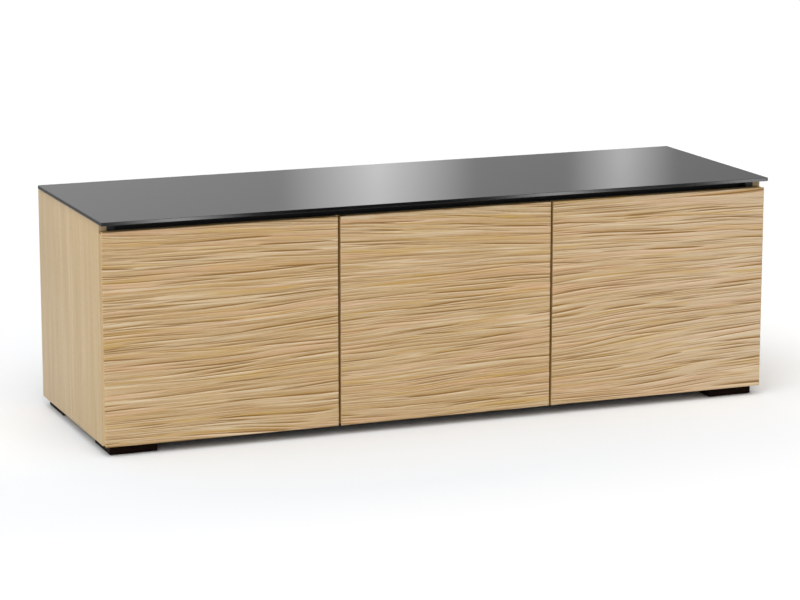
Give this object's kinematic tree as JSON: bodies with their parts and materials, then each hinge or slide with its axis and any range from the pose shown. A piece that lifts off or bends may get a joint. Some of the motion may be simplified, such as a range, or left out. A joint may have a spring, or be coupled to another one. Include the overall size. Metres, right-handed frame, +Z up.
{
  "type": "console television cabinet",
  "caption": "Low wide media cabinet with a floating black glass top, carved oak doors on concealed pivots, adjustable shelves and cable notches.",
  "frame": {"origin": "on the floor, under the centre of the cabinet's bounding box", "axes": "+X to the right along the front, -Y out of the doors towards the user, +Z up"},
  "size_m": [1.668, 0.556, 0.541],
  "materials": {
    "oak_veneer": "matt lacquer on straight-grained oak veneer",
    "carved_oak": "matt lacquer on carved natural oak",
    "door_oak": "matt lacquered oak edge and back",
    "black_laminate": "satin black faced board",
    "black_glass": "polished, opaque black back coat",
    "clear_pad": "soft clear silicone",
    "dark_wood": "satin, nearly black stain",
    "felt_rubber": "matt",
    "black_plastic": "matt",
    "black_steel": "satin black coat",
    "zinc_steel": "bright zinc",
    "bronze": "plain sintered bronze",
    "brass": "satin brass",
    "white_plastic": "matt",
    "magnet": "dull nickel"
  },
  "bodies": {
    "carcass": {"left_side_panel": "oak_veneer", "right_side_panel": "oak_veneer", "left_inner_panel": "black_laminate", "right_inner_panel": "black_laminate", "left_divider": "black_laminate", "right_divider": "black_laminate", "bottom_panel": "black_laminate", "top_panel": "black_laminate", "left_front_rail": "black_laminate", "middle_front_rail": "black_laminate", "right_front_rail": "black_laminate", "glass_top": "black_glass", "glass_pads": "clear_pad", "left_back_panel": "black_laminate", "middle_back_panel": "black_laminate", "right_back_panel": "black_laminate", "back_panel_screws": "black_steel", "left_shelf": "black_laminate", "middle_shelf": "black_laminate", "right_shelf": "black_laminate", "shelf_pins": "zinc_steel", "front_left_foot": "dark_wood", "front_right_foot": "dark_wood", "back_left_foot": "dark_wood", "back_right_foot": "dark_wood", "foot_screws": "zinc_steel", "foot_glides": "felt_rubber", "carcass_screws": "zinc_steel", "side_panel_screws": "black_steel", "divider_grommets": "black_plastic", "left_hinge_brackets": "brass", "middle_hinge_brackets": "brass", "right_hinge_brackets": "brass", "left_hinge_pins": "zinc_steel", "middle_hinge_pins": "zinc_steel", "right_hinge_pins": "zinc_steel", "hinge_screws": "zinc_steel", "catch_housings": "white_plastic", "catch_magnets": "magnet", "catch_screws": "zinc_steel"},
    "left_door": {"left_door_core": "door_oak", "left_door_face": "carved_oak", "left_door_bushes": "bronze", "left_door_strike": "zinc_steel", "left_door_strike_screws": "zinc_steel", "left_door_bumpers": "clear_pad"},
    "middle_door": {"middle_door_core": "door_oak", "middle_door_face": "carved_oak", "middle_door_bushes": "bronze", "middle_door_strike": "zinc_steel", "middle_door_strike_screws": "zinc_steel", "middle_door_bumpers": "clear_pad"},
    "right_door": {"right_door_core": "door_oak", "right_door_face": "carved_oak", "right_door_bushes": "bronze", "right_door_strike": "zinc_steel", "right_door_strike_screws": "zinc_steel", "right_door_bumpers": "clear_pad"}
  },
  "joints": [
    {"name": "left_door_hinge", "type": "hinge", "parent": "carcass", "child": "left_door", "pos_m": [-0.822, -0.2575, 0.27], "axis": [0, 0, -1], "range_deg": [0, 95]},
    {"name": "middle_door_hinge", "type": "hinge", "parent": "carcass", "child": "middle_door", "pos_m": [-0.25617, -0.2575, 0.27], "axis": [0, 0, -1], "range_deg": [0, 95]},
    {"name": "right_door_hinge", "type": "hinge", "parent": "carcass", "child": "right_door", "pos_m": [0.822, -0.2575, 0.27], "axis": [0, 0, 1], "range_deg": [0, 95]}
  ]
}
